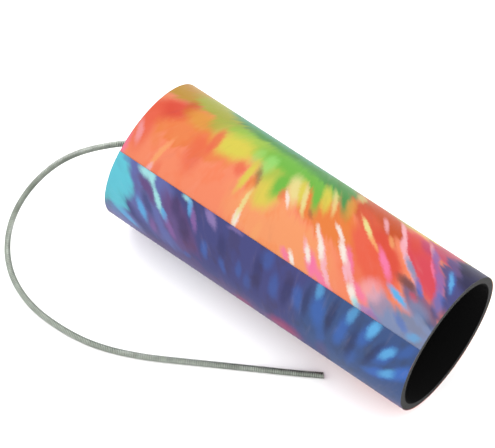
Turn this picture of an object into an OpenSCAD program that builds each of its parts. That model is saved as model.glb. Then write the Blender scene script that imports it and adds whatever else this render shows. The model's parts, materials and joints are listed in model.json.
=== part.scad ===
// Spring drum: a board tube with a film head in one end and a long coil spring on the head.
// Millimetres. The drum lies on its side: +X runs along the tube to its open end, +Z is up,
// and the origin is under the middle of the tube, on the surface that it lies on.

/* [Tube] */
// Length of the tube
tube_l = 178; // [150:1:220]
// Outer diameter over the printed cover
tube_d = 74.5; // [70:0.5:80]
// Radial thickness of the board
board_t = 3.3; // [2.5:0.1:4]
// Thickness of the lining inside the board
liner_t = 0.4; // [0.3:0.05:0.6]

/* [Printed cover] */
// Thickness of the cover sheet
cover_t = 0.3; // [0.2:0.05:0.5]
// Angle of the lap's free edge from the top, toward the spring's side
lap_angle = 40; // [20:1:70]
// Width of the lap, measured around the tube
lap_w = 12; // [6:1:20]

/* [Head] */
// Depth of the film below the end of the tube
head_recess = 2.8; // [2:0.1:5]
// Thickness of the drumhead film
film_t = 0.2; // [0.15:0.05:0.3]
// Depth of the film's skirt, which is glued into the tube
skirt_l = 7; // [5:1:9]
// Radial width of the hoop that the film is stretched over
hoop_w = 3.2; // [2:0.1:5]
// Length of the hoop along the tube
hoop_l = 5; // [4:0.5:8]
// Diameter of the two patches that reinforce the film
patch_d = 24; // [16:1:32]

/* [Eyelet and spring] */
// Diameter of the eyelet's flange
flange_d = 9; // [7:0.5:12]
// Diameter of the washer behind the film
washer_d = 12; // [10:0.5:16]
// Outer diameter of the coil spring
coil_d = 3.3; // [3.2:0.05:3.4]
// Diameter of the ferrule that keeps the spring in the eyelet
ferrule_d = 5.4; // [4.8:0.1:6]

/* [Hidden] */
$fn = 128;

outer_r = tube_d / 2;
board_r = outer_r - cover_t;
liner_r = board_r - board_t;
bore_r = liner_r - liner_t;
axis_z = outer_r;
open_x = tube_l / 2;
end_x = -open_x;

film_x = end_x + head_recess;
hoop_r = liner_r - film_t;
liner_gap = 1;
liner_x = film_x + skirt_l + liner_gap;
patch_t = 0.3;

// Eyelet: a flange outside, a plain barrel through the film, and a rolled lip on the washer
flange_t = 0.4;
washer_t = 0.6;
lip_t = 0.6;
running_gap = 0.05;
eyelet_bore_r = coil_d / 2 + running_gap;
barrel_r = eyelet_bore_r + 0.4;
lip_r = barrel_r + 1;
flange_x = film_x - patch_t - flange_t;
washer_x = film_x + film_t + patch_t;
lip_x = washer_x + washer_t;
barrel_end_x = lip_x + lip_t;

// Ferrule crimped on the spring's inner end, just clear of the eyelet
ferrule_l = 4;
ferrule_gap = 0.2;
ferrule_x = barrel_end_x + ferrule_gap;

// The spring leaves the eyelet straight, and bends from the swing centre on
swing_x = end_x - 3;
swing_gap = 0.1;

// Route of the free spring from the swing centre to its tip, control points of a cubic B-spline.
// Each is x from the swing centre, y, and the height as a share of the climb from where the
// spring rests up to the axis: it droops from the head, lies flat, and comes back beside the drum
rest_z = coil_d / 2 + 0.05;
route_plan = [
    [0, 0, 1], [-5, -1, 0.99], [-11, -5.5, 0.97], [-18, -12, 0.94], [-25, -19, 0.88],
    [-31, -27, 0.8], [-35, -36, 0.7], [-37.5, -46, 0.57], [-37.5, -57, 0.44],
    [-34.5, -67.5, 0.32], [-28.5, -77, 0.2], [-19.5, -84.5, 0.1], [-8, -89, 0.03],
    [4, -91, 0], [16, -91, 0], [28, -90, 0], [40, -87, 0], [51, -82.5, 0], [62, -77, 0],
    [72, -71, 0], [82, -65, 0], [92, -59, 0], [102, -53, 0], [112, -47, 0],
    [123, -40.5, 0], [134, -33.5, 0]
];
route = [for (p = route_plan) [swing_x + p[0], p[1], rest_z + p[2] * (axis_z - rest_z)]];
rings_per_span = 2;
coil_sides = 8;

// The route with one more point past each end, so that the curve starts and ends on its points
last = len(route) - 1;
spread = concat([2 * route[0] - route[1]], route, [2 * route[last] - route[last - 1]]);

// Point and direction of the curve at a share u of the span i
function curve_point(i, u) =
    (pow(1 - u, 3) * spread[i]
    + (3 * pow(u, 3) - 6 * pow(u, 2) + 4) * spread[i + 1]
    + (-3 * pow(u, 3) + 3 * pow(u, 2) + 3 * u + 1) * spread[i + 2]
    + pow(u, 3) * spread[i + 3]) / 6;
function curve_direction(i, u) =
    let (d = -pow(1 - u, 2) * spread[i]
        + (3 * pow(u, 2) - 4 * u) * spread[i + 1]
        + (-3 * pow(u, 2) + 2 * u + 1) * spread[i + 2]
        + pow(u, 2) * spread[i + 3])
    d / norm(d);

// Ring of points around a centre, square to a direction; one side of it stays level
function ring(centre, direction, r) =
    let (side = cross(direction, [0, 0, 1]) / norm(cross(direction, [0, 0, 1])),
         rise = cross(side, direction))
    [for (k = [0 : coil_sides - 1])
        let (a = 360 * k / coil_sides)
        centre + r * (cos(a) * side + sin(a) * rise)];

// Disc or ring on the drum's axis, from x to x + l
module on_axis(x, l, r, hole_r = 0) {
    translate([x, 0, axis_z])
        rotate([0, 90, 0])
            difference() {
                cylinder(h = l, r = r);
                if (hole_r > 0)
                    translate([0, 0, -1])
                        cylinder(h = l + 2, r = hole_r);
            }
}

// Black board tube, the drum's body
module shell_tube() {
    color("#262626")
        on_axis(end_x, tube_l, board_r, liner_r);
}

// Black lining inside the board, from just short of the head's skirt to the open end
module inner_liner() {
    color("#101010")
        on_axis(liner_x, open_x - liner_x, liner_r, bore_r);
}

// Printed sheet around the board, with one edge lapped over the other
module printed_cover() {
    lap_span = lap_w / outer_r * 180 / PI;
    reach = 2 * outer_r;
    color("#e8804f")
        translate([end_x, 0, axis_z])
            rotate([0, 90, 0])
                linear_extrude(height = tube_l)
                    difference() {
                        union() {
                            circle(r = outer_r);
                            intersection() {
                                circle(r = outer_r + cover_t);
                                rotate([0, 0, 180 + lap_angle])
                                    polygon([[0, 0], [reach, 0],
                                             reach * [cos(lap_span), sin(lap_span)]]);
                            }
                        }
                        circle(r = board_r);
                    }
}

// Hoop that the film is stretched over
module head_hoop() {
    color("#2b2b2b")
        on_axis(film_x + film_t, hoop_l, hoop_r, hoop_r - hoop_w);
}

// Drumhead: a film disc with a short skirt around the hoop
module drumhead_film() {
    color("#d9dcdf")
        difference() {
            on_axis(film_x, skirt_l, liner_r, barrel_r);
            on_axis(film_x + film_t, skirt_l, hoop_r);
        }
}

// Round patch on the outside of the film
module outer_patch() {
    color("#1b1b1d")
        on_axis(film_x - patch_t, patch_t, patch_d / 2, barrel_r);
}

// Round patch on the inside of the film
module inner_patch() {
    color("#1b1b1d")
        on_axis(film_x + film_t, patch_t, patch_d / 2, barrel_r);
}

// Metal eyelet, the bearing that the spring turns in
module eyelet() {
    color("#c9c6bd")
        translate([0, 0, axis_z])
            rotate([0, 90, 0])
                rotate_extrude()
                    polygon([
                        [eyelet_bore_r, flange_x],
                        [flange_d / 2, flange_x],
                        [flange_d / 2, flange_x + flange_t],
                        [barrel_r, flange_x + flange_t],
                        [barrel_r, lip_x],
                        [lip_r, lip_x],
                        [lip_r, barrel_end_x],
                        [eyelet_bore_r, barrel_end_x]
                    ]);
}

// Washer that the eyelet is rolled over on, inside the drum
module backing_washer() {
    color("#b9bcc0")
        on_axis(washer_x, washer_t, washer_d / 2, barrel_r);
}

// Ferrule crimped on the spring's inner end, too wide for the eyelet
module keeper_ferrule() {
    color("#b9bcc0")
        on_axis(ferrule_x, ferrule_l, ferrule_d / 2, coil_d / 2);
}

// Straight first turns of the spring, from the ferrule through the eyelet to the swing centre
module coil_root() {
    color("#9aa3a3") {
        on_axis(swing_x, ferrule_x + ferrule_l - swing_x, coil_d / 2);
        translate([swing_x, 0, axis_z])
            sphere(r = coil_d / 2);
    }
}

// The rest of the spring, as the outer shape of its close-wound turns
module coil_spring() {
    root_end = [swing_x - coil_d / 2 - swing_gap, 0, axis_z];
    rings = concat(
        [ring(root_end, [-1, 0, 0], coil_d / 2)],
        [for (i = [0 : last - 1], k = [1 : rings_per_span])
            if (i > 0 || k > 1)
                ring(curve_point(i, k / rings_per_span),
                     curve_direction(i, k / rings_per_span), coil_d / 2)]
    );
    count = len(rings);
    sides = [for (j = [0 : count - 2], k = [0 : coil_sides - 1])
        let (a = j * coil_sides + k, b = j * coil_sides + (k + 1) % coil_sides)
        [a, b, b + coil_sides, a + coil_sides]];
    start_cap = [[for (k = [coil_sides - 1 : -1 : 0]) k]];
    end_cap = [[for (k = [0 : coil_sides - 1]) (count - 1) * coil_sides + k]];
    color("#9aa3a3")
        polyhedron(points = [for (r = rings) each r], faces = concat(sides, start_cap, end_cap));
}

shell_tube();
inner_liner();
printed_cover();
head_hoop();
drumhead_film();
outer_patch();
inner_patch();
eyelet();
backing_washer();
keeper_ferrule();
coil_root();
coil_spring();
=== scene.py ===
import json
import math

import bmesh
import bpy
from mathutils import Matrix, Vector, noise


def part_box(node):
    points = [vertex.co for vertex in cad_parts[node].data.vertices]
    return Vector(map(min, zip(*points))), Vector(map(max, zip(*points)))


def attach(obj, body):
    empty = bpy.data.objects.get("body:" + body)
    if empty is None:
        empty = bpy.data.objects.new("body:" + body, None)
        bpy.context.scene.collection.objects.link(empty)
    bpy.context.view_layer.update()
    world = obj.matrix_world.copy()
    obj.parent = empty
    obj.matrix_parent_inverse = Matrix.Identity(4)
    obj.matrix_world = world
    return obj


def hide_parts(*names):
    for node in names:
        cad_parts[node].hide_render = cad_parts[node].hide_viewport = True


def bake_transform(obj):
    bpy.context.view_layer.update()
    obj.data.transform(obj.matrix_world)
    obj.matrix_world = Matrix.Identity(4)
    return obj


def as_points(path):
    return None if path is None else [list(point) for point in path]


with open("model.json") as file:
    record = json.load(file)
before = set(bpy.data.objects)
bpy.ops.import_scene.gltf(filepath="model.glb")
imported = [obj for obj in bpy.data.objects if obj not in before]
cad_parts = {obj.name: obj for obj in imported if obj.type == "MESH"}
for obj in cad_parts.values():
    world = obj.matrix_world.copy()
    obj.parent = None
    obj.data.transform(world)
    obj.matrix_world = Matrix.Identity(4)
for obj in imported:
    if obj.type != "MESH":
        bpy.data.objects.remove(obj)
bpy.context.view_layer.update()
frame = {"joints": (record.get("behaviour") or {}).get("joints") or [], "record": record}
mm = 0.001
fullTurn = 2 * math.pi
sharpFrom = 35               # degrees past which an edge of a turned piece stays sharp


class Wire:
    # A node's output that can be used in sums: each sign adds a Math node
    def __init__(self, graph, socket):
        self.graph = graph
        self.socket = socket

    def __add__(self, other):
        return self.graph.maths("ADD", self, other)

    def __sub__(self, other):
        return self.graph.maths("SUBTRACT", self, other)

    def __mul__(self, other):
        return self.graph.maths("MULTIPLY", self, other)

    def __truediv__(self, other):
        return self.graph.maths("DIVIDE", self, other)

    def __radd__(self, other):
        return self.graph.maths("ADD", other, self)

    def __rsub__(self, other):
        return self.graph.maths("SUBTRACT", other, self)

    def __rmul__(self, other):
        return self.graph.maths("MULTIPLY", other, self)

    def __rtruediv__(self, other):
        return self.graph.maths("DIVIDE", other, self)


class Graph:
    # A shader or geometry tree that is built by calls
    def __init__(self, tree):
        self.tree = tree
        tree.nodes.clear()

    def node(self, kind, settings=None, inputs=None, output=0):
        made = self.tree.nodes.new(kind)
        for name, value in (settings or {}).items():
            if name == "stops":
                self.fillRamp(made.color_ramp, value)
            else:
                setattr(made, name, value)
        for name, value in (inputs or {}).items():
            if isinstance(value, Wire):
                self.tree.links.new(value.socket, made.inputs[name])
            else:
                made.inputs[name].default_value = value
        return Wire(self, made.outputs[output]) if made.outputs else None

    def fillRamp(self, ramp, stops):
        while len(ramp.elements) < len(stops):
            ramp.elements.new(0.5)
        for element, (position, colour) in zip(ramp.elements, stops):
            element.position = position
            element.color = colour

    def other(self, wire, output):
        # Another output of the node that a wire comes from
        return Wire(self, wire.socket.node.outputs[output])

    def maths(self, operation, *values):
        return self.node("ShaderNodeMath", {"operation": operation}, dict(enumerate(values)))

    def vector(self, operation, *values):
        return self.node("ShaderNodeVectorMath", {"operation": operation}, dict(enumerate(values)))

    def scaled(self, vector, amount):
        inputs = {"Vector": vector, "Scale": amount}
        return self.node("ShaderNodeVectorMath", {"operation": "SCALE"}, inputs)

    def joined(self, x, y, z):
        return self.node("ShaderNodeCombineXYZ", None, {0: x, 1: y, 2: z})

    def apart(self, vector):
        # A vector's x, y and z
        x = self.node("ShaderNodeSeparateXYZ", None, {0: vector})
        return x, self.other(x, "Y"), self.other(x, "Z")

    def mix(self, factor, first, second, blend="MIX"):
        settings = {"data_type": "RGBA", "blend_type": blend}
        return self.node("ShaderNodeMix", settings, {0: factor, 6: first, 7: second}, 2)

    def smooth(self, value, low, high, top=1.0):
        # 0 below low, rising smoothly to top above high; it falls where low is over high
        settings = {"interpolation_type": "SMOOTHSTEP"}
        return self.node("ShaderNodeMapRange", settings, {0: value, 1: low, 2: high, 3: 0.0, 4: top})

    def noise(self, where, scale, detail=2.0, roughness=0.5, output="Fac"):
        inputs = {"Vector": where, "Scale": scale, "Detail": detail, "Roughness": roughness}
        return self.node("ShaderNodeTexNoise", None, inputs, output)

    def spot(self):
        # Where a point lies on the piece, in metres
        return self.node("ShaderNodeTexCoord", output="Object")

    def bump(self, strength, depth, height):
        inputs = {"Strength": strength, "Distance": depth, "Height": height}
        return self.node("ShaderNodeBump", None, inputs)


def dye(red, green, blue):
    # 0 to 255, as a colour picker shows it, to the linear colour that sockets take
    def linear(level):
        share = level / 255
        return share / 12.92 if share <= 0.04045 else ((share + 0.055) / 1.055) ** 2.4
    return (linear(red), linear(green), linear(blue), 1.0)


def grey(level):
    return dye(level, level, level)


def material(name, paint, **constants):
    # paint(graph) returns what varies over the surface, by socket name
    made = bpy.data.materials.new(name)
    made.use_nodes = True
    graph = Graph(made.node_tree)
    shader = graph.node("ShaderNodeBsdfPrincipled", None, {**constants, **paint(graph)})
    graph.node("ShaderNodeOutputMaterial", None, {"Surface": shader})
    return made


def nodeTree(name, sockets):
    # An empty Geometry Nodes tree with its named inputs, and the wire of each
    tree = bpy.data.node_groups.new(name, "GeometryNodeTree")
    graph = Graph(tree)
    tree.interface.new_socket("Geometry", in_out="INPUT", socket_type="NodeSocketGeometry")
    for label, kind in sockets.items():
        tree.interface.new_socket(label, in_out="INPUT", socket_type=kind)
    tree.interface.new_socket("Geometry", in_out="OUTPUT", socket_type="NodeSocketGeometry")
    first = graph.node("NodeGroupInput")
    return graph, {label: graph.other(first, label) for label in ["Geometry", *sockets]}


def endTree(graph, geometry, finish):
    # Every tree ends as one real mesh in its finish
    solid = graph.node("GeometryNodeRealizeInstances", None, {"Geometry": geometry})
    painted = graph.node("GeometryNodeSetMaterial", None, {"Geometry": solid, "Material": finish})
    graph.node("NodeGroupOutput", None, {"Geometry": painted})


def grown(base, graph, values, name, extra=None):
    # Runs the tree on the base object, and extra modifiers after it, and returns a plain mesh
    modifier = base.modifiers.new(graph.tree.name, "NODES")
    modifier.node_group = graph.tree
    for item in graph.tree.interface.items_tree:
        if item.in_out == "INPUT" and item.name in values:
            modifier[item.identifier] = values[item.name]
    if extra:
        extra(base)
    bpy.context.view_layer.update()
    shown = base.evaluated_get(bpy.context.evaluated_depsgraph_get())
    mesh = bpy.data.meshes.new_from_object(shown)
    bpy.data.objects.remove(base)
    return placed(name, mesh)


def placed(name, mesh):
    mesh.name = name
    made = bpy.data.objects.new(name, mesh)
    bpy.context.scene.collection.objects.link(made)
    return made


def span(node):
    # Where a round node starts and ends along the drum, and its radius
    low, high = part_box(node)
    return low.x, high.x, (high.z - low.z) / 2


def rounded(corners, steps=4):
    # Outline whose corners (x, radius, bend) are rounded by their bend
    points = []
    for i, (x, radius, bend) in enumerate(corners):
        here = Vector((x, radius))
        if bend == 0:
            points.append(here)
            continue
        before = Vector(corners[i - 1][:2])
        after = Vector(corners[(i + 1) % len(corners)][:2])
        start = here + (before - here).normalized() * bend
        end = here + (after - here).normalized() * bend
        for k in range(steps + 1):
            t = k / steps
            points.append((1 - t) ** 2 * start + 2 * t * (1 - t) * here + t ** 2 * end)
    return points


def lathe(name, outline, sides, finish, shape=None):
    # Closed outline turned about the drum's axis; shape(x, radius, turn) may move each point
    verts, faces = [], []
    rows = len(outline)
    for i in range(sides):
        turn = fullTurn * i / sides
        for x, radius in outline:
            if shape:
                x, radius = shape(x, radius, turn)
            verts.append((x, -radius * math.sin(turn), axisZ + radius * math.cos(turn)))
        for j in range(rows):
            a, b = i * rows, (i + 1) % sides * rows
            k = (j + 1) % rows
            faces.append((a + j, a + k, b + k, b + j))
    mesh = bpy.data.meshes.new(name)
    mesh.from_pydata(verts, [], faces)
    form = bmesh.new()
    form.from_mesh(mesh)
    bmesh.ops.recalc_face_normals(form, faces=form.faces)
    form.to_mesh(mesh)
    form.free()
    mesh.materials.append(finish)
    mesh.shade_smooth()
    mesh.set_sharp_from_angle(angle=math.radians(sharpFrom))
    return placed(name, mesh)


def fitted(piece, body, slot, *nodes):
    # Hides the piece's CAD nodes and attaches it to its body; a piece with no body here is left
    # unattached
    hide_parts(*nodes)
    if body:
        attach(piece, body)
    return piece


# where the drum's main pieces are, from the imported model
headX, openX, boardRadius = span("shell_tube")
axisZ = sum(corner.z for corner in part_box("shell_tube")) / 2
linerX, _, linerRadius = span("inner_liner")
boreRadius = frame["record"]["mounts"][0]["dims"]["r_mm"] * mm
joints = {joint["name"]: joint for joint in frame["joints"]}
swingX = joints["spring_swing"]["pos_m"][0]


# camera and stage
view = {
    "azimuth": 37.7,
    "elevation": 59.0,
    "distance": 1.490,
    "lens": 225.1,
    "sensor": 36.0,
    "seesTo": 20.0,
    "aimRight": -0.0239,     # the aim, beside and above the drum's middle
    "aimUp": 0.01003,
    "floorSize": 6.0,
    "floorTone": grey(250),
    "skyLight": 1.9,
    "keyPlace": (-0.9, 0.5, 1.8),
    "keySize": 1.6,
    "keyPower": 12.0,
}


def placeCamera():
    turn, tilt = math.radians(view["azimuth"]), math.radians(view["elevation"])
    right = Vector((math.cos(turn), math.sin(turn), 0))
    up = Vector((-math.sin(turn) * math.sin(tilt), math.cos(turn) * math.sin(tilt), math.cos(tilt)))
    back = right.cross(up)
    made = bpy.data.cameras.new("camera")
    made.lens = view["lens"]
    made.sensor_width = view["sensor"]
    made.clip_end = view["seesTo"]
    camera = bpy.data.objects.new("camera", made)
    aim = Vector((0, 0, axisZ)) + right * view["aimRight"] + up * view["aimUp"]
    camera.location = aim + back * view["distance"]
    camera.rotation_euler = back.to_track_quat("Z", "Y").to_euler()
    bpy.context.scene.collection.objects.link(camera)
    bpy.context.scene.camera = camera


def placeFloor():
    half = view["floorSize"] / 2
    mesh = bpy.data.meshes.new("floor")
    corners = [(-half, -half, 0), (half, -half, 0), (half, half, 0), (-half, half, 0)]
    mesh.from_pydata(corners, [], [(0, 1, 2, 3)])
    floor = placed("floor", mesh)

    def paint(graph):
        return {"Roughness": 0.75 + graph.noise(graph.spot(), 30) * 0.1}

    mesh.materials.append(material("paleFloor", paint, **{"Base Color": view["floorTone"]}))


def softLight(name, place, size, power):
    made = bpy.data.lights.new(name, "AREA")
    made.shape = "DISK"
    made.size = size
    made.energy = power
    lamp = bpy.data.objects.new(name, made)
    lamp.location = place
    aim = Vector(place) - Vector((0, 0, axisZ))
    lamp.rotation_euler = aim.to_track_quat("Z", "Y").to_euler()
    bpy.context.scene.collection.objects.link(lamp)


def lightStage():
    world = bpy.data.worlds.new("studio")
    world.use_nodes = True
    graph = Graph(world.node_tree)
    sky = graph.node("ShaderNodeBackground", None, {"Color": (1, 1, 1, 1), "Strength": view["skyLight"]})
    graph.node("ShaderNodeOutputWorld", None, {"Surface": sky})
    bpy.context.scene.world = world
    softLight("keyLight", view["keyPlace"], view["keySize"], view["keyPower"])
    bpy.context.scene.view_settings.view_transform = "Standard"


placeCamera()
placeFloor()
lightStage()
print("camera, floor and light")


# coil spring: one wire wound along the spring's route
coil = {
    "wire": 0.8 * mm,        # wire diameter
    "pitch": 0.88 * mm,      # a little over the wire: close wound
    "pointsPerTurn": 16,
    "wireSides": 8,
    "bendFrom": 0.5 * mm,    # the bend at the head, measured from the swing centre
    "bendTo": 8.5 * mm,
    "bendHeading": (-0.25, -0.85, -0.46),
    "underside": 0.05 * mm,  # air under the stretch that lies flat
    "bright": dye(178, 184, 174),
    "dull": dye(122, 128, 120),
    "stain": dye(84, 92, 80),
    "gloss": grey(110),      # tint of the sheen on the wire's edges
}
_, rootX, coilRadius = span("coil_root")
restZ = coilRadius + coil["underside"]

# the spring's route: mm from the swing centre along the drum, mm across, and the height as a
# share of the climb from where it rests up to the axis; the first two run back into the ferrule
routePlan = [
    [(rootX - swingX) / mm, 0, 1], [(rootX - swingX) / mm / 2, 0, 1],
    [0, 0, 1], [-5, -1, 0.99], [-11, -5.5, 0.97], [-18, -12, 0.94], [-25, -19, 0.88],
    [-31, -27, 0.8], [-35, -36, 0.7], [-37.5, -46, 0.57], [-37.5, -57, 0.44],
    [-34.5, -67.5, 0.32], [-28.5, -77, 0.2], [-19.5, -84.5, 0.1], [-8, -89, 0.03],
    [4, -91, 0], [16, -91, 0], [28, -90, 0], [40, -87, 0], [51, -82.5, 0], [62, -77, 0],
    [72, -71, 0], [82, -65, 0], [92, -59, 0], [102, -53, 0], [112, -47, 0],
    [123, -40.5, 0], [134, -33.5, 0],
]


def routeKnots():
    # The plan's points in metres, with one more past each end so that the curve meets its ends
    climb = axisZ - restZ
    knots = [Vector((swingX + x * mm, y * mm, restZ + rise * climb)) for x, y, rise in routePlan]
    return [2 * knots[0] - knots[1], *knots, 2 * knots[-1] - knots[-2]]


def routePoint(a, b, c, d, t):
    # Uniform cubic B-spline, the same rule as the CAD tube follows
    return ((1 - t) ** 3 * a + (3 * t ** 3 - 6 * t ** 2 + 4) * b
            + (-3 * t ** 3 + 3 * t ** 2 + 3 * t + 1) * c + t ** 3 * d) / 6


def routeLine(steps=12):
    knots = routeKnots()
    line = [routePoint(*knots[i:i + 4], k / steps)
            for i in range(len(knots) - 3) for k in range(steps)]
    return [*line, routePoint(*knots[-4:], 1)]


def lineLength(points):
    return sum((b - a).length for a, b in zip(points, points[1:]))


def windingTree():
    graph, socket = nodeTree("windWire", {
        "Turns": "NodeSocketFloat", "Points": "NodeSocketInt", "Coil Radius": "NodeSocketFloat",
        "Wire Radius": "NodeSocketFloat", "Wire Sides": "NodeSocketInt", "Finish": "NodeSocketMaterial"})
    along = graph.node("GeometryNodeResampleCurve", None,
                       {"Curve": socket["Geometry"], "Count": socket["Points"]})
    share = graph.node("GeometryNodeSplineParameter", output="Factor")
    turn = share * socket["Turns"] * fullTurn
    normal = graph.node("GeometryNodeInputNormal")
    side = graph.vector("CROSS_PRODUCT", graph.node("GeometryNodeInputTangent"), normal)
    out = graph.scaled(normal, graph.maths("COSINE", turn) * socket["Coil Radius"])
    across = graph.scaled(side, graph.maths("SINE", turn) * socket["Coil Radius"])
    wound = graph.node("GeometryNodeSetPosition", None,
                       {"Geometry": along, "Offset": graph.vector("ADD", out, across)})
    section = graph.node("GeometryNodeCurvePrimitiveCircle", {"mode": "RADIUS"},
                         {"Resolution": socket["Wire Sides"], "Radius": socket["Wire Radius"]})
    wire = graph.node("GeometryNodeCurveToMesh", None,
                      {"Curve": wound, "Profile Curve": section, "Fill Caps": True})
    endTree(graph, wire, socket["Finish"])
    return graph


def steelPaint(graph):
    # Grey-green mottling with darker stains, and fine scratches
    spot = graph.spot()
    mottle = graph.noise(spot, 420, 3)
    stain = graph.smooth(graph.noise(spot, 60, 2), 0.45, 0.75)
    steel = graph.mix(mottle, coil["dull"], coil["bright"])
    return {
        "Base Color": graph.mix(stain * 0.45, steel, coil["stain"]),
        "Roughness": 0.27 + mottle * 0.14 + stain * 0.1,
        "Normal": graph.bump(0.25, 0.04 * mm, graph.noise(spot, 2600, 2)),
    }


def windSpring():
    finish = material("springSteel", steelPaint, **{"Metallic": 1.0, "Specular Tint": coil["gloss"]})
    line = routeLine()
    length = lineLength(line)
    flat = bpy.data.curves.new("springRoute", "CURVE")
    flat.dimensions = "3D"
    flat.twist_mode = "MINIMUM"
    spline = flat.splines.new("POLY")
    spline.points.add(len(line) - 1)
    for point, place in zip(spline.points, line):
        point.co = (*place, 1)
    base = bpy.data.objects.new("springRoute", flat)
    bpy.context.scene.collection.objects.link(base)
    turns = round(length / coil["pitch"])
    spring = grown(base, windingTree(), {
        "Turns": float(turns), "Points": turns * coil["pointsPerTurn"] + 1,
        "Coil Radius": coilRadius - coil["wire"] / 2, "Wire Radius": coil["wire"] / 2,
        "Wire Sides": coil["wireSides"], "Finish": finish}, "coilSpring")
    spring.data.shade_smooth()
    fitted(spring, None, "coil", "coil_root", "coil_spring")
    heading = Vector(coil["bendHeading"]).normalized()
    centre = Vector((swingX, 0, axisZ))
    centre + heading * coil["bendFrom"]
    centre + heading * coil["bendTo"]
    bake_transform(spring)
    print(f"coil spring: {turns} turns over {length / mm:.0f} mm")
    return spring, line


def declareCord(spring, line, ferrule):
    # The spring runs from the eyelet's mouth to the bare tip, with the ferrule on its inner end; here
    # the route's length and points are worked out and not kept
    round(lineLength(line), 3)
    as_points(line)


spring, springLine = windSpring()


# printed cover: one sheet rolled around the board, one edge lapped over the other
cover = {
    "thickness": 0.3 * mm,
    "lap": 12 * mm,          # how far the sheet runs over itself
    "lapAngle": 40.0,        # the lap's free edge, degrees from the top toward the spring's side
    "ramp": 5 * mm,          # where the outer layer climbs onto the hidden edge
    "edgeLift": 0.06 * mm,   # the free edge stands up a little
    "puff": 0.05 * mm,       # unevenness of the glued paper
    "stepsAlong": 60,
    "stepsAround": 330,
    "sharpFrom": 50,         # degrees past which the sheet's edges stay sharp
    "gloss": 0.06,           # plain plastic has 0.5
}
coverRadius = boardRadius + cover["thickness"]
sheetLength = openX - headX
sheetWidth = fullTurn * coverRadius + cover["lap"]


def rollingTree():
    graph, socket = nodeTree("rollSheet", {
        "Length": "NodeSocketFloat", "Width": "NodeSocketFloat", "Radius": "NodeSocketFloat",
        "Thickness": "NodeSocketFloat", "Lap": "NodeSocketFloat", "Ramp": "NodeSocketFloat",
        "Under Edge": "NodeSocketFloat", "Edge Lift": "NodeSocketFloat", "Puff": "NodeSocketFloat",
        "Head": "NodeSocketFloat", "Axis Height": "NodeSocketFloat",
        "Steps Along": "NodeSocketInt", "Steps Around": "NodeSocketInt", "Finish": "NodeSocketMaterial"})
    grid = graph.node("GeometryNodeMeshGrid", None, {
        "Size X": socket["Length"], "Size Y": socket["Width"],
        "Vertices X": socket["Steps Along"], "Vertices Y": socket["Steps Around"]})
    marked = graph.node("GeometryNodeStoreNamedAttribute", {"data_type": "FLOAT2", "domain": "CORNER"}, {
        "Geometry": grid, "Name": "sheetMap", "Value": graph.other(grid, "UV Map")})
    flatX, flatY, _ = graph.apart(graph.node("GeometryNodeInputPosition"))
    along = flatX + socket["Length"] * 0.5
    around = flatY + socket["Width"] * 0.5
    angle = socket["Under Edge"] - around / socket["Radius"]
    climbEnd = socket["Width"] - socket["Lap"]
    onLap = graph.smooth(around, climbEnd - socket["Ramp"], climbEnd)
    nearEdge = graph.smooth(around, socket["Width"] - socket["Lap"] * 0.3, socket["Width"])
    upward, sideways = graph.maths("COSINE", angle), graph.maths("SINE", angle)
    # the unevenness is read round a tube, so that it meets itself under the lap
    spot = graph.joined(along, upward * 0.03, sideways * 0.03)
    uneven = graph.noise(spot, 45, 2) * socket["Puff"]
    reach = socket["Radius"] + onLap * socket["Thickness"] + nearEdge * socket["Edge Lift"] + uneven
    turned = graph.joined(socket["Head"] + along, sideways * reach * -1,
                          socket["Axis Height"] + upward * reach)
    rolled = graph.node("GeometryNodeSetPosition", None, {"Geometry": marked, "Position": turned})
    smooth = graph.node("GeometryNodeSetShadeSmooth", None, {"Geometry": rolled})
    endTree(graph, smooth, socket["Finish"])
    return graph


def giveWall(sheet):
    # The paper's thickness grows inwards
    wall = sheet.modifiers.new("wall", "SOLIDIFY")
    wall.thickness = cover["thickness"]
    wall.offset = -1


def rollCover(finish):
    base = placed("flatSheet", bpy.data.meshes.new("flatSheet"))
    underEdge = math.radians(cover["lapAngle"]) + cover["lap"] / coverRadius
    sheet = grown(base, rollingTree(), {
        "Length": sheetLength, "Width": sheetWidth, "Radius": coverRadius,
        "Thickness": cover["thickness"], "Lap": cover["lap"], "Ramp": cover["ramp"],
        "Under Edge": underEdge, "Edge Lift": cover["edgeLift"], "Puff": cover["puff"],
        "Head": headX, "Axis Height": axisZ, "Steps Along": cover["stepsAlong"],
        "Steps Around": cover["stepsAround"], "Finish": finish}, "printedSheet", giveWall)
    sheet.data.set_sharp_from_angle(angle=math.radians(cover["sharpFrom"]))
    fitted(sheet, "drum", "cover", "printed_cover")
    print(f"printed cover: a sheet of {sheetLength / mm:.0f} by {sheetWidth / mm:.0f} mm")


# the print: dyes brushed on the sheet
dyes = {
    "mustard": dye(198, 152, 62), "olive": dye(176, 178, 72), "forest": dye(84, 154, 78),
    "teal": dye(80, 156, 122), "leaf": dye(120, 192, 72), "lime": dye(176, 206, 80),
    "mint": dye(162, 228, 120), "lemon": dye(228, 214, 84), "cream": dye(242, 230, 152),
    "pale": dye(255, 240, 228), "amber": dye(232, 160, 66), "tangerine": dye(242, 134, 66),
    "salmon": dye(255, 146, 108), "peach": dye(255, 174, 112), "coral": dye(242, 104, 78),
    "red": dye(228, 80, 62), "rust": dye(206, 84, 34), "pink": dye(255, 128, 172),
    "blush": dye(255, 186, 196), "rose": dye(226, 78, 92), "magenta": dye(196, 66, 112),
    "violet": dye(152, 110, 176), "plum": dye(112, 84, 136), "indigo": dye(80, 82, 138),
    "navy": dye(52, 50, 86), "slate": dye(70, 94, 144), "blue": dye(72, 118, 204),
    "sky": dye(104, 184, 240), "cyan": dye(106, 210, 228), "aqua": dye(172, 234, 238),
    "lilac": dye(168, 142, 202), "iris": dye(112, 120, 184), "umber": dye(132, 78, 72),
    "haze": dye(136, 150, 188),
}

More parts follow.
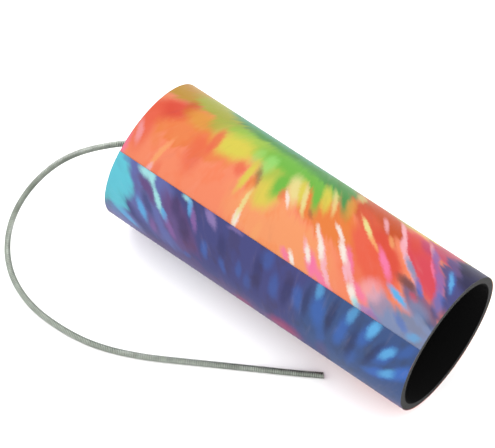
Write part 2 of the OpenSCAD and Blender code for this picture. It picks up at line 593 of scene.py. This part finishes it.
# each wash and stroke: dye, mm along from the head, mm around from the seam, angle, half length,
# half width, strength; a minus puts it below the seam, where the sheet's other edge is
washes = [
    # the upper side
    ("salmon", 89, 0, 0, 170, 78, 1), ("peach", 90, 8, -8, 40, 16, 0.6),
    ("tangerine", 24, 26, 0, 34, 10, 0.7), ("tangerine", 104, 30, -18, 34, 12, 1),
    ("coral", 134, 27, -35, 24, 12, 1), ("rust", 120, 50, -25, 26, 15, 1),
    ("rose", 150, 42, -45, 24, 10, 1), ("mustard", 4, 54, 0, 24, 17, 1),
    ("olive", 27, 54, 0, 20, 16, 1), ("teal", 64, 68, 0, 46, 24, 1),
    ("forest", 84, 58, -20, 26, 14, 1), ("magenta", 158, 56, -40, 16, 11, 0.9),
    ("indigo", 178, 32, -60, 18, 9, 0.9), ("haze", 172, 3, 0, 26, 14, 1),
    ("slate", 166, 18, -20, 17, 6, 0.8), ("indigo", 173, 22, -40, 10, 5, 0.6),
    ("haze", 152, 7, -30, 13, 7, 0.8),
    ("leaf", 68, 45, 0, 40, 11, 1), ("forest", 72, 55, 0, 42, 12, 1),
    ("teal", 60, 66, 0, 40, 12, 0.8), ("rose", 157, 37, -48, 18, 8, 1),
    ("indigo", 173, 38, -60, 26, 9, 0.95), ("navy", 178, 52, -65, 25, 14, 1),
    # the lower side
    ("indigo", 89, -4, 0, 170, 78, 1), ("slate", 152, -18, 0, 46, 40, 1),
    ("iris", 22, -10, -40, 40, 17, 0.9), ("plum", 44, -18, -45, 20, 10, 0.8),
    ("plum", 60, -44, 0, 60, 14, 0.5), ("cyan", 0, -11, -72, 32, 13, 1),
    ("iris", 12, -36, -30, 16, 10, 0.8), ("iris", 10, -1, 0, 9, 3, 0.5),
    # the side that the drum usually hides
    ("teal", 96, 84, -10, 56, 16, 0.8), ("forest", 40, 84, 20, 34, 14, 0.7),
    ("tangerine", 150, 84, -30, 26, 12, 0.7), ("amber", 8, 84, 40, 18, 14, 0.6),
    ("leaf", 89, 111, 20, 30, 17, 0.8), ("lemon", 89, 111, 0, 18, 11, 0.9),
    ("blue", 36, 132, -30, 30, 12, 0.6), ("indigo", 100, 156, 0, 60, 12, 0.7),
]
strokes = [
    # reds and ambers of the headed end
    ("red", 10, 34, 35, 15, 7, 0.9), ("red", 4, 26, 70, 13, 6, 0.6),
    ("coral", 3, 18, -80, 18, 6, 0.8),
    ("rust", 15, 40, -80, 8, 3.5, 0.6), ("amber", 24, 37, 0, 12, 7, 0.9),
    ("olive", 32, 41, 0, 6, 8, 0.8), ("pink", 0, 4, -85, 8, 2.4, 0.7),
    ("blush", 3, 13, -70, 8, 2, 0.5), ("peach", 18, 9, -97, 13, 1.6, 0.8),
    ("blush", 17, 1.5, -115, 4, 1.5, 0.7), ("coral", 21, 2, -90, 6, 2, 0.4),
    ("coral", 32, 20, -85, 15, 6, 0.6), ("tangerine", 11, 17, -60, 10, 3, 0.4),
    # greens and yellows of the middle
    ("lime", 52, 42, 0, 24, 8, 1), ("lemon", 46, 34, 0, 15, 9, 1),
    ("coral", 36.5, 31, -85, 12, 2.6, 0.8), ("leaf", 72, 42, 0, 22, 10, 1),
    ("lime", 70, 30, 0, 12, 8, 0.9), ("lemon", 73, 21, 0, 9, 9, 0.9),
    ("leaf", 76, 30, -88, 12, 4, 1), ("mint", 64, 36, -85, 9, 4, 0.8),
    ("mint", 57, 37, -80, 8, 3, 0.5), ("lemon", 59.5, 25, -88, 13, 2, 0.9),
    ("coral", 55, 25, -80, 6, 2.6, 0.7), ("umber", 64.5, 26, -68, 7, 2, 0.6),
    ("tangerine", 64, 21, -80, 6, 2.6, 0.8), ("peach", 65.5, 14, -80, 9, 1.6, 0.7),
    ("cream", 83, 32, -64, 12, 4, 0.9), ("lemon", 86, 33, -62, 10, 2, 0.9),
    ("pale", 83, 25, -55, 6, 1.2, 0.8), ("cream", 89.5, 31, -60, 12, 1.6, 0.9),
    ("leaf", 92.5, 37, -62, 14, 2.8, 1), ("umber", 97, 26, -52, 4, 1.2, 0.4),
    ("lemon", 96.5, 39, -60, 12, 2.6, 0.9), ("cream", 100.5, 40, -60, 12, 1.6, 0.7),
    ("forest", 104, 45, -58, 15, 3.6, 1), ("amber", 109, 42, -72, 10, 3, 0.8),
    ("cream", 107, 56, -70, 9, 2.6, 0.5), ("coral", 79.5, 25, -75, 5, 1.8, 0.6),
    ("pale", 68, 4, -78, 6, 1.8, 1), ("peach", 80, 4, -85, 7, 2, 0.5),
    # reds and pinks of the right
    ("coral", 122, 40, -35, 16, 6, 0.6), ("red", 131, 36, -35, 8, 5, 0.8),
    ("red", 146, 46, -45, 16, 5, 0.8), ("red", 142, 28, -38, 14, 5, 0.8),
    ("rose", 158, 34, -48, 18, 5, 1), ("magenta", 149, 50, -50, 9, 3.4, 0.8),
    ("coral", 132, 16, -30, 14, 8, 0.6), ("blush", 143, 11, -20, 8, 6, 0.6),
    ("pink", 112, 5, -48, 9, 3, 1), ("pink", 98, 2, -35, 5, 2, 0.8),
    ("pink", 120, 2, -30, 10, 2.6, 0.9), ("pink", 126, 17, -47, 9, 2, 0.9),
    ("pink", 140.5, 25, -40, 12, 2, 1), ("pink", 139, 7, -25, 8, 2.4, 0.8),
    ("rose", 165, 27, -50, 6, 3, 0.8),
    # white streaks
    ("blush", 128, 13.5, -41, 21, 1.4, 0.9), ("blush", 115, 11, -46, 15, 1.4, 0.9),
    ("blush", 106, 9, -46, 9, 1.2, 0.8), ("cream", 67, 11, -84, 11, 1.3, 0.8),
    ("peach", 124, 36, -36, 13, 1.2, 0.8), ("blush", 138, 46, -55, 17, 1.2, 0.8),
    ("blush", 150, 31, -40, 16, 1.2, 0.7),
    ("pale", 101.5, 2.5, -42, 5, 1.2, 1), ("pale", 107.5, 8.5, -46, 6, 1.4, 1),
    ("pale", 105, 20, -50, 6, 1.2, 0.8), ("pale", 111, 14, -48, 8, 1.6, 1),
    ("blush", 120.5, 5, -40, 8, 1.2, 1), ("pale", 114, 26, -36, 7, 1.3, 0.9),
    ("pale", 121, 18.5, -44, 8, 1.7, 1), ("blush", 128, 11, -47, 6, 1.4, 1),
    ("pale", 135.5, 5, -40, 6, 2, 1), ("aqua", 140.5, 1.5, -35, 5, 2, 0.9),
    ("cream", 122.5, 37, -40, 8, 1.6, 0.95), ("peach", 130, 31, -36, 6, 1, 0.8),
    ("blush", 127, 46, -50, 8, 1.5, 0.75), ("peach", 135.5, 38, -45, 5, 1.4, 0.7),
    ("blush", 134, 52, -58, 10, 1.5, 0.8), ("blush", 140, 42, -60, 8, 1.8, 0.85),
    ("blush", 146, 35, -42, 8, 1.5, 0.9), ("haze", 151, 31, -40, 9, 1.6, 0.9),
    ("blue", 160, 24.5, -38, 7, 1.7, 0.8), ("blush", 152, 50, -55, 9, 1.3, 0.6),
    ("pink", 160, 37, -55, 8, 1, 0.7),
    # blues and browns of the open end
    ("violet", 157, 45, -52, 11, 2, 0.9), ("violet", 166, 33, -52, 11, 2.4, 0.9),
    ("plum", 165, 48, -52, 9, 3, 0.8), ("blue", 172, 24, -55, 8, 3, 0.6),
    ("blue", 170, 37, -60, 10, 2.2, 0.6), ("sky", 170, 36.5, -60, 8, 1.3, 0.8),
    ("umber", 154, 23, -8, 8, 2.4, 0.9), ("rose", 161, 19, -25, 4, 1.6, 0.6),
    ("sky", 155, 15.5, -18, 9, 1.8, 1), ("haze", 166, 15, -10, 9, 4, 0.6),
    ("lilac", 146, 1.5, 0, 7, 2.6, 0.8), ("violet", 150, 1, 0, 6, 1.6, 0.5),
    ("blue", 163, 6, -30, 7, 2, 0.5), ("sky", 172, 3, 10, 5, 2.2, 0.6),
    # cyan and lilac strokes of the headed end
    ("aqua", 17, -1.5, -12, 6, 2.6, 1), ("aqua", 21, -2.5, -60, 5, 2.4, 1),
    ("cyan", 10, -13, -55, 9, 4, 0.9), ("plum", 19, -7.5, -35, 6, 2, 0.9),
    ("aqua", 28, -10.5, -50, 10, 1.7, 1), ("sky", 34, -16, -48, 5, 1.6, 0.9),
    ("navy", 24, -16, -50, 9, 2.4, 0.5), ("sky", 22, -21, -50, 9, 2.2, 0.9),
    ("sky", 14, -33, -38, 9, 2.6, 0.8), ("cyan", 6, -26, -50, 9, 3, 0.8),
    ("plum", 23, -9, -50, 9, 2, 0.8), ("plum", 33, -8, -55, 9, 3, 0.6),
    ("plum", 30, -26, -50, 9, 3, 0.6), ("navy", 38, -8, -65, 8, 3, 0.5),
    ("aqua", 42, -1.5, -12, 4, 1.6, 0.8),
    ("sky", 45, -4, -62, 5, 1.8, 0.8), ("violet", 49.5, -8.5, -58, 8, 1.6, 0.8),
    ("violet", 39, -21, -48, 8, 2, 0.7), ("violet", 30, -27, -75, 5, 1.8, 0.5),
    ("lilac", 57, -2.5, -42, 7, 2.2, 0.7), ("lilac", 71, -1, 0, 6, 1.4, 0.4),
    ("blue", 60, -20, -75, 6, 2.2, 0.55), ("blue", 71, -22, -65, 6, 1.8, 0.4),
    ("blue", 80, -18, -80, 6, 2, 0.4), ("blue", 51, -31, 0, 3, 2.2, 0.4),
    ("navy", 46, -16, -60, 10, 4, 0.5), ("navy", 68, -12, -70, 8, 3, 0.4),
    # blue strokes of the open end
    ("blue", 92, -4, -70, 7, 4, 0.35), ("blue", 100, -15, -80, 9, 3, 0.4),
    ("blue", 113, -13, -75, 9, 3.4, 0.5), ("blue", 86, -22, -80, 7, 2.6, 0.3),
    ("blue", 125, -13, -80, 12, 4.2, 0.6), ("sky", 122, -2.5, -75, 6, 2.4, 0.65),
    ("blue", 139.5, -14, 86, 13, 3.2, 0.65), ("sky", 141, -3, 85, 6, 2.4, 0.65),
    ("blue", 151, -9, 75, 10, 3.6, 0.6), ("sky", 153.5, -4, 72, 7, 3, 1),
    ("blue", 164, -13, 60, 10, 4, 0.7), ("sky", 164.5, -11.5, 57, 7, 2.6, 0.9),
    ("blue", 165, -24, 25, 13, 3.6, 0.8), ("sky", 169, -21, 40, 8, 2.8, 0.85),
    ("blue", 176, -16, 45, 8, 4, 0.95), ("blue", 173, -4, 60, 8, 3, 0.4),
    ("blue", 130, -25, -85, 8, 3, 0.3), ("blue", 148, -26, 80, 8, 3, 0.35),
    ("navy", 132, -10, 90, 14, 2.6, 0.55), ("navy", 146, -18, 90, 14, 2.6, 0.5),
    ("navy", 107, -14, 90, 12, 3, 0.45), ("navy", 118, -12, -85, 12, 2, 0.45),
    ("navy", 158, -16, 70, 12, 2.4, 0.5), ("navy", 90, -14, -80, 14, 3, 0.4),
    ("magenta", 109, -40, 10, 12, 8, 0.6), ("magenta", 84, -43, 0, 8, 5, 0.45),
    ("plum", 132, -36, 90, 9, 4, 0.4),
]

swirl = {
    "centre": (89, 123),     # mm along and around the flat sheet
    "lean": 17.0,            # degrees between the folds and straight out
    "fine": 26.0,            # narrow folds around the centre
    "broad": 8.0,            # and wide ones
    "foldChange": 0.05,      # how fast a fold changes along itself
    "feather": 9.0,          # mm that a fold drags the washes
    "strokeFeather": 2.0,    # and the strokes
    "drift": 2.0,            # mm of slow wandering
    "bleed": 0.5,            # mm of soft edges
    "ragged": 0.75,          # mm of fine fraying of the strokes
    "strokeLonger": 1.15,
    "strokeWider": 1.35,
    "strokeEdge": 0.75,      # share of a stroke that fades
    "washEdge": 0.38,        # and of a wash
    "streak": 0.6,           # how far a fold may take another dye of the rainbow
    "rainbowTwist": 0.003,   # turns of the rainbow per mm outwards
    "rainbowStart": 0.63,
    "strength": 0.46,        # the dyes' brightness, on this bright stage
    "wornEdge": grey(52),    # bare paper along the sheet's two ends
}
# the rainbow under the washes, once around the swirl's centre
rainbow = [
    (0.0, dyes["indigo"]), (0.12, dyes["violet"]), (0.22, dyes["blue"]), (0.34, dyes["teal"]),
    (0.46, dyes["leaf"]), (0.55, dyes["lemon"]), (0.66, dyes["tangerine"]), (0.78, dyes["coral"]),
    (0.88, dyes["magenta"]), (1.0, dyes["indigo"]),
]


def brush(graph, picture, spot, stroke, edge, longer=1.0, wider=1.0):
    # One soft oval of dye over the picture
    name, along, up, angle, halfLength, halfWidth, strength = stroke
    lap, width = cover["lap"] / mm, sheetWidth / mm
    around = lap + up if up >= 0 else width + up
    local = graph.node("ShaderNodeMapping", {"vector_type": "TEXTURE"}, {
        "Vector": spot, "Location": (along, around, 0), "Rotation": (0, 0, math.radians(angle)),
        "Scale": (halfLength * longer, halfWidth * wider, 1)})
    ball = graph.node("ShaderNodeTexGradient", {"gradient_type": "SPHERICAL"}, {"Vector": local}, "Fac")
    return graph.mix(graph.smooth(ball, 0.0, edge, strength), picture, dyes[name])


def strayed(graph, spot, flat, scale, reach):
    # Noise moves each spot by up to its reach, in mm
    cloud = graph.vector("SUBTRACT", graph.noise(flat, scale, 2, 0.5, "Color"), (0.5, 0.5, 0.5))
    shift = graph.vector("MULTIPLY", cloud, (2 * reach, 2 * reach, 0))
    return graph.vector("ADD", spot, shift)


def printPaint(graph):
    sheet = graph.node("ShaderNodeUVMap", {"uv_map": "sheetMap"})
    flat = graph.vector("MULTIPLY", sheet, (sheetLength / mm, sheetWidth / mm, 0))
    along, around, _ = graph.apart(graph.vector("SUBTRACT", flat, (*swirl["centre"], 0)))
    reach = graph.maths("SQRT", along * along + around * around + 1)
    angle = graph.maths("ARCTAN2", around, along)
    lean = math.radians(swirl["lean"])
    fold = angle - graph.maths("LOGARITHM", reach, math.e) * math.tan(lean)
    foldX, foldY = graph.maths("COSINE", fold), graph.maths("SINE", fold)
    finely, broadly = [graph.joined(foldX * count, foldY * count, reach * swirl["foldChange"])
                       for count in (swirl["fine"], swirl["broad"])]
    folds = graph.noise(finely, 1, 2, 0.6)

    # folds drag the dye along themselves, and slow noise carries it sideways
    heading = graph.joined(graph.maths("COSINE", angle + lean), graph.maths("SINE", angle + lean), 0)
    wandered = strayed(graph, flat, flat, 0.045, swirl["drift"])
    wandered = strayed(graph, wandered, flat, 0.4, swirl["bleed"])

    def dragged(amount):
        return graph.vector("ADD", wandered, graph.scaled(heading, (folds - 0.5) * (2 * amount)))

    # the rainbow shows on the side that the drum hides, streaked along the folds
    streak = (graph.noise(broadly, 1, 2, 0.6) - 0.5) * swirl["streak"]
    twist = fold * (1 / fullTurn) + reach * swirl["rainbowTwist"]
    turned = graph.maths("FRACT", twist + streak + swirl["rainbowStart"])
    picture = graph.node("ShaderNodeValToRGB", {"stops": rainbow}, {"Fac": turned})
    picture = graph.mix(graph.smooth(folds, 0.6, 0.72, 0.7), picture, dyes["pale"])

    # the washes, deepened here and there by the wide folds, and the strokes over them
    broadSpot = dragged(swirl["feather"])
    for wash in washes:
        picture = brush(graph, picture, broadSpot, wash, swirl["washEdge"])
    deep = graph.smooth(graph.noise(broadly, 1.6, 2, 0.6), 0.5, 0.68, 0.6)
    picture = graph.mix(deep, picture, (1.0, 0.82, 0.68, 1.0), "MULTIPLY")
    fineSpot = strayed(graph, dragged(swirl["strokeFeather"]), flat, 1.1, swirl["ragged"])
    for stroke in strokes:
        picture = brush(graph, picture, fineSpot, stroke, swirl["strokeEdge"],
                        swirl["strokeLonger"], swirl["strokeWider"])

    # narrow folds lighten and darken the print
    light = graph.noise(finely, 0.9, 3, 0.6)
    picture = graph.mix(graph.smooth(light, 0.55, 0.9, 0.08), picture, dye(255, 225, 220))
    picture = graph.mix(graph.smooth(light, 0.45, 0.15, 0.12), picture, dye(90, 60, 90))
    picture = graph.mix(1.0, picture, (swirl["strength"],) * 3 + (1.0,), "MULTIPLY")

    # and the paper is worn along its two ends, over a fraction of a millimetre
    share, _, _ = graph.apart(sheet)
    toEnd = graph.maths("MINIMUM", share, 1 - share) * (sheetLength / mm)
    scuff = graph.noise(flat, 0.6, 3)
    worn = graph.smooth(toEnd + (scuff - 0.5) * 0.8, 0.3, 0.05, 0.35)
    return {
        "Base Color": graph.mix(worn, picture, swirl["wornEdge"]),
        "Roughness": 0.36 + scuff * 0.1 + worn * 0.2,
        "Normal": graph.bump(0.12, 0.05 * mm, graph.noise(flat, 3.0, 2)),
    }


rollCover(material("printedPaper", printPaint, **{"Specular IOR Level": cover["gloss"]}))


# board tube and its lining
board = {
    "plies": 6,              # layers that show in the cut edge
    "groove": 0.07 * mm,     # depth of the line between two plies
    "grooveWidth": 0.1 * mm,
    "edge": 0.25 * mm,
    "sides": 256,
    "rough": 0.05 * mm,      # fibres of the cut edge
    "dark": grey(9),
    "light": grey(27),
    "gloss": 0.3,
}


def boardPaint(graph):
    spot = graph.spot()
    fibre = graph.noise(spot, 1400, 4, 0.65)
    blotch = graph.noise(spot, 90, 2)
    return {
        "Base Color": graph.mix(fibre * 0.7 + blotch * 0.3, board["dark"], board["light"]),
        "Roughness": 0.62 + fibre * 0.3,
        "Normal": graph.bump(0.5, 0.1 * mm, fibre),
    }


def boardOutline():
    # Both cut ends have a shallow line between each two plies
    step = (boardRadius - linerRadius) / board["plies"]
    half, deep, edge = board["grooveWidth"] / 2, board["groove"], board["edge"]
    corners = [(headX, linerRadius, edge / 2)]
    for k in range(1, board["plies"]):
        line = linerRadius + k * step
        corners += [(headX, line - half, 0), (headX + deep, line, 0), (headX, line + half, 0)]
    corners += [(headX, boardRadius, edge / 2), (openX, boardRadius, edge / 2)]
    for k in range(board["plies"] - 1, 0, -1):
        line = linerRadius + k * step
        corners += [(openX, line + half, 0), (openX - deep, line, 0), (openX, line - half, 0)]
    return rounded([*corners, (openX, linerRadius, edge)])


def boardShape(x, radius, turn):
    # Fibres pull the cut edge in here and there
    across = Vector((radius * math.cos(turn), radius * math.sin(turn), x)) / mm
    dent = (noise.noise(across * 0.9) + 1) / 2 * board["rough"]
    if x > openX - mm:
        return x - dent, radius
    return (x + dent, radius) if x < headX + mm else (x, radius)


def buildBoard():
    finish = material("blackBoard", boardPaint, **{"Specular IOR Level": board["gloss"]})
    tube = lathe("boardTube", boardOutline(), board["sides"], finish, boardShape)
    fitted(tube, "drum", "board", "shell_tube")


lining = {
    "edge": 0.12 * mm,
    "seamPitch": 95 * mm,    # the lining is a strip wound in a long helix
    "seamWidth": 0.004,      # share of the pitch on each side of the seam
    "sides": 192,
    "dark": grey(5),
    "light": grey(12),
    "gloss": 0.08,
}


def liningPaint(graph):
    spot = graph.spot()
    x, y, z = graph.apart(spot)
    turn = graph.maths("ARCTAN2", y, z - axisZ) * (1 / fullTurn)
    wound = graph.maths("FRACT", x * (1 / lining["seamPitch"]) + turn)
    fromSeam = graph.maths("ABSOLUTE", wound - 0.5)   # 0.5 on the seam
    seam = graph.smooth(fromSeam, 0.5 - lining["seamWidth"], 0.5)
    fibre = graph.noise(spot, 700, 3)
    return {
        "Base Color": graph.mix(fibre * 0.5 + seam * 0.4, lining["dark"], lining["light"]),
        "Roughness": 0.85 + fibre * 0.1,
        "Normal": graph.bump(0.4, 0.2 * mm, seam + fibre * 0.2),
    }


def buildLining():
    finish = material("flatBlackLining", liningPaint, **{"Specular IOR Level": lining["gloss"]})
    edge = lining["edge"]
    outline = rounded([(linerX, boreRadius, edge), (linerX, linerRadius, 0),
                       (openX, linerRadius, 0), (openX, boreRadius, edge)])
    tube = lathe("liningTube", outline, lining["sides"], finish)
    fitted(tube, "drum", "lining", "inner_liner")


buildBoard()
buildLining()
print("board tube and lining")


# drumhead: hoop, film and patches
head = {
    "hoopWidth": 3.2 * mm,
    "hoopRound": 0.6 * mm,
    "filmThickness": 0.2 * mm,
    "filmFold": 0.7 * mm,    # how round the film goes over the hoop's edge
    "filmRings": 26,
    "ripple": 0.14 * mm,     # tension ripples between patch and hoop
    "ripples": 11,
    "rippleFrom": 1 * mm,    # outside the patch
    "rippleTo": 3 * mm,      # inside the film's edge
    "patchRound": 0.1 * mm,
    "holeRadius": 2.1 * mm,  # through film and patches, around the eyelet's barrel
    "sides": 192,
    "discSides": 96,
    "hoopColours": (grey(34), grey(66)),
    "filmColours": (dye(152, 156, 159), dye(176, 179, 180)),
    "patchColours": (grey(28), grey(46)),
}
filmX, skirtX, filmRadius = span("drumhead_film")
patchX, _, patchRadius = span("outer_patch")


def hoopPaint(graph):
    fibre = graph.noise(graph.spot(), 900, 4, 0.6)
    return {
        "Base Color": graph.mix(fibre, *head["hoopColours"]),
        "Roughness": 0.6 + fibre * 0.25,
        "Normal": graph.bump(0.4, 0.1 * mm, fibre),
    }


def filmPaint(graph):
    # Frosted: slow clouds and a very fine grain
    spot = graph.spot()
    cloud = graph.noise(spot, 110, 3)
    return {
        "Base Color": graph.mix(cloud, *head["filmColours"]),
        "Roughness": 0.3 + cloud * 0.16,
        "Normal": graph.bump(0.2, 0.04 * mm, graph.noise(spot, 2400, 2)),
    }


def patchPaint(graph):
    pebble = graph.noise(graph.spot(), 1500, 3)
    return {
        "Base Color": graph.mix(pebble, *head["patchColours"]),
        "Roughness": 0.42 + pebble * 0.18,
        "Normal": graph.bump(0.35, 0.06 * mm, pebble),
    }


def filmOutline():
    # Outside from the hole to the skirt's end, then back along the inside
    hole, fold, thickness = head["holeRadius"], head["filmFold"], head["filmThickness"]
    inner, behind = filmRadius - thickness, filmX + thickness
    step = (filmRadius - fold - hole) / head["filmRings"]
    rings = [hole + k * step for k in range(head["filmRings"])]
    outside = [*[(filmX, r, 0) for r in rings], (filmX, filmRadius, fold)]
    skirt = [(skirtX, filmRadius, 0), (skirtX, inner, 0)]
    inside = [(behind, inner, fold - thickness), *[(behind, r, 0) for r in rings[::-1]]]
    return rounded([*outside, *skirt, *inside])


def filmShape(x, radius, turn):
    # Ripples between the patch and the hoop, uneven in width and in depth around the film
    start, end = patchRadius + head["rippleFrom"], filmRadius - head["rippleTo"]
    free = (radius - start) / (end - start)
    if x > filmX + 2 * head["filmThickness"] or not 0 < free < 1:
        return x, radius
    swell = math.sin(math.pi * free) ** 2
    wave = math.cos(head["ripples"] * turn + 0.8 * math.sin(3 * turn))
    depth = 0.5 + 0.5 * math.cos(2 * turn + 1)
    return x - head["ripple"] * swell * wave * depth, radius


def disc(name, node, bend, finish):
    # Flat round piece with a hole, and its outer edges rounded
    front, back, radius = span(node)
    hole = head["holeRadius"]
    outline = rounded([(front, hole, 0), (front, radius, bend), (back, radius, bend), (back, hole, 0)])
    return lathe(name, outline, head["discSides"], finish)


def buildHead():
    hoopX, hoopEnd, hoopRadius = span("head_hoop")
    hoopIn, bend = hoopRadius - head["hoopWidth"], head["hoopRound"]
    outline = rounded([(hoopX, hoopIn, bend), (hoopX, hoopRadius, bend),
                       (hoopEnd, hoopRadius, bend), (hoopEnd, hoopIn, bend)])
    hoop = lathe("hoopRing", outline, head["sides"], material("blackHoopBoard", hoopPaint))
    fitted(hoop, "drum", "hoop", "head_hoop")
    frosted = material("frostedFilm", filmPaint)
    film = lathe("drumFilm", filmOutline(), head["sides"], frosted, filmShape)
    fitted(film, "drum", "film", "drumhead_film")
    vinyl = material("blackVinyl", patchPaint)
    for name, node in (("patchOutside", "outer_patch"), ("patchInside", "inner_patch")):
        fitted(disc(name, node, head["patchRound"], vinyl), "drum", "patch", node)
    print("drumhead")


buildHead()


# eyelet, washer and ferrule
metalwork = {
    "eyeletBore": 1.7 * mm,
    "eyeletSides": 96,
    "mouth": 0.34 * mm,      # how round the eyelet's mouth is
    "lipWidth": 1 * mm,
    "petals": 6,             # the rolled lip splits into petals
    "petalDepth": 0.6 * mm,
    "washerRound": 0.14 * mm,
    "ferruleSides": 64,
    "ferruleRound": 0.25 * mm,
    "ferruleSteps": 26,
    "crimps": (1.2 * mm, 2.8 * mm),   # two rows of dents, from the ferrule's outer end
    "dents": 4,              # in each row
    "crimpDepth": 0.28 * mm,
    "crimpWidth": 0.5 * mm,
    "nickel": (dye(226, 220, 206), dye(190, 184, 170)),
    "zinc": (dye(208, 212, 216), dye(168, 172, 178)),
}


def platedPaint(colours, roughness):
    # Clouded plating with fine turning marks around the drum's axis
    def paint(graph):
        spot = graph.spot()
        cloud = graph.noise(spot, 500, 3)
        turned = graph.noise(graph.vector("MULTIPLY", spot, (6, 1, 1)), 1500, 2)
        return {
            "Base Color": graph.mix(cloud, *colours),
            "Roughness": roughness + cloud * 0.16,
            "Normal": graph.bump(0.25, 0.03 * mm, turned),
        }
    return paint


def buildEyelet(finish):
    # A flange outside, a barrel through the film, and a lip rolled over on the washer
    flangeX, lipEnd, flangeRadius = span("eyelet")
    _, lipX, _ = span("backing_washer")
    bore, barrel, mouth = metalwork["eyeletBore"], head["holeRadius"], metalwork["mouth"]
    lip = barrel + metalwork["lipWidth"]
    flange = [(flangeX, bore, mouth), (flangeX, flangeRadius, mouth), (patchX, flangeRadius, 0)]
    rolled = [(lipX, lip, 0), (lipEnd, lip, mouth), (lipEnd, bore, mouth)]
    outline = rounded([*flange, (patchX, barrel, 0), (lipX, barrel, 0), *rolled], 6)

    def petals(x, radius, turn):
        # Narrow notches in the lip's outer part
        if x < lipX - 0.01 * mm or radius < barrel + 0.2 * mm:
            return x, radius
        split = max(0.0, math.cos(metalwork["petals"] * turn)) ** 8
        return x, radius - metalwork["petalDepth"] * split

    eyelet = lathe("eyeletRing", outline, metalwork["eyeletSides"], finish, petals)
    fitted(eyelet, "drum", "eyelet", "eyelet")


def buildFerrule(finish):
    start, end, outer = span("keeper_ferrule")
    bend, steps = metalwork["ferruleRound"], metalwork["ferruleSteps"]
    wall = [(start + (end - start) * k / steps, outer, 0) for k in range(2, steps - 1)]
    outline = rounded([(start, coilRadius, 0), (start, outer, bend), *wall,
                       (end, outer, bend), (end, coilRadius, 0)])

    def crimped(x, radius, turn):
        # Rows of dents press it onto the wire
        if radius < outer - bend:
            return x, radius
        around = 0.25 + 0.75 * max(0.0, math.cos(metalwork["dents"] * turn)) ** 2
        dent = 0.0
        for place in metalwork["crimps"]:
            near = max(0.0, 1 - abs(x - start - place) / metalwork["crimpWidth"])
            dent += near * near * (3 - 2 * near) * around
        return x, radius - dent * metalwork["crimpDepth"]

    ferrule = lathe("ferruleSleeve", outline, metalwork["ferruleSides"], finish, crimped)
    return fitted(ferrule, "coil_end", "hardware", "keeper_ferrule")


def buildMetalwork():
    nickel = material("nickelPlate", platedPaint(metalwork["nickel"], 0.16), Metallic=1.0)
    zinc = material("zincPlate", platedPaint(metalwork["zinc"], 0.26), Metallic=1.0)
    buildEyelet(nickel)
    washer = disc("backWasher", "backing_washer", metalwork["washerRound"], zinc)
    fitted(washer, "drum", "hardware", "backing_washer")
    print("eyelet, washer and ferrule")
    return buildFerrule(zinc)


declareCord(spring, springLine, buildMetalwork())
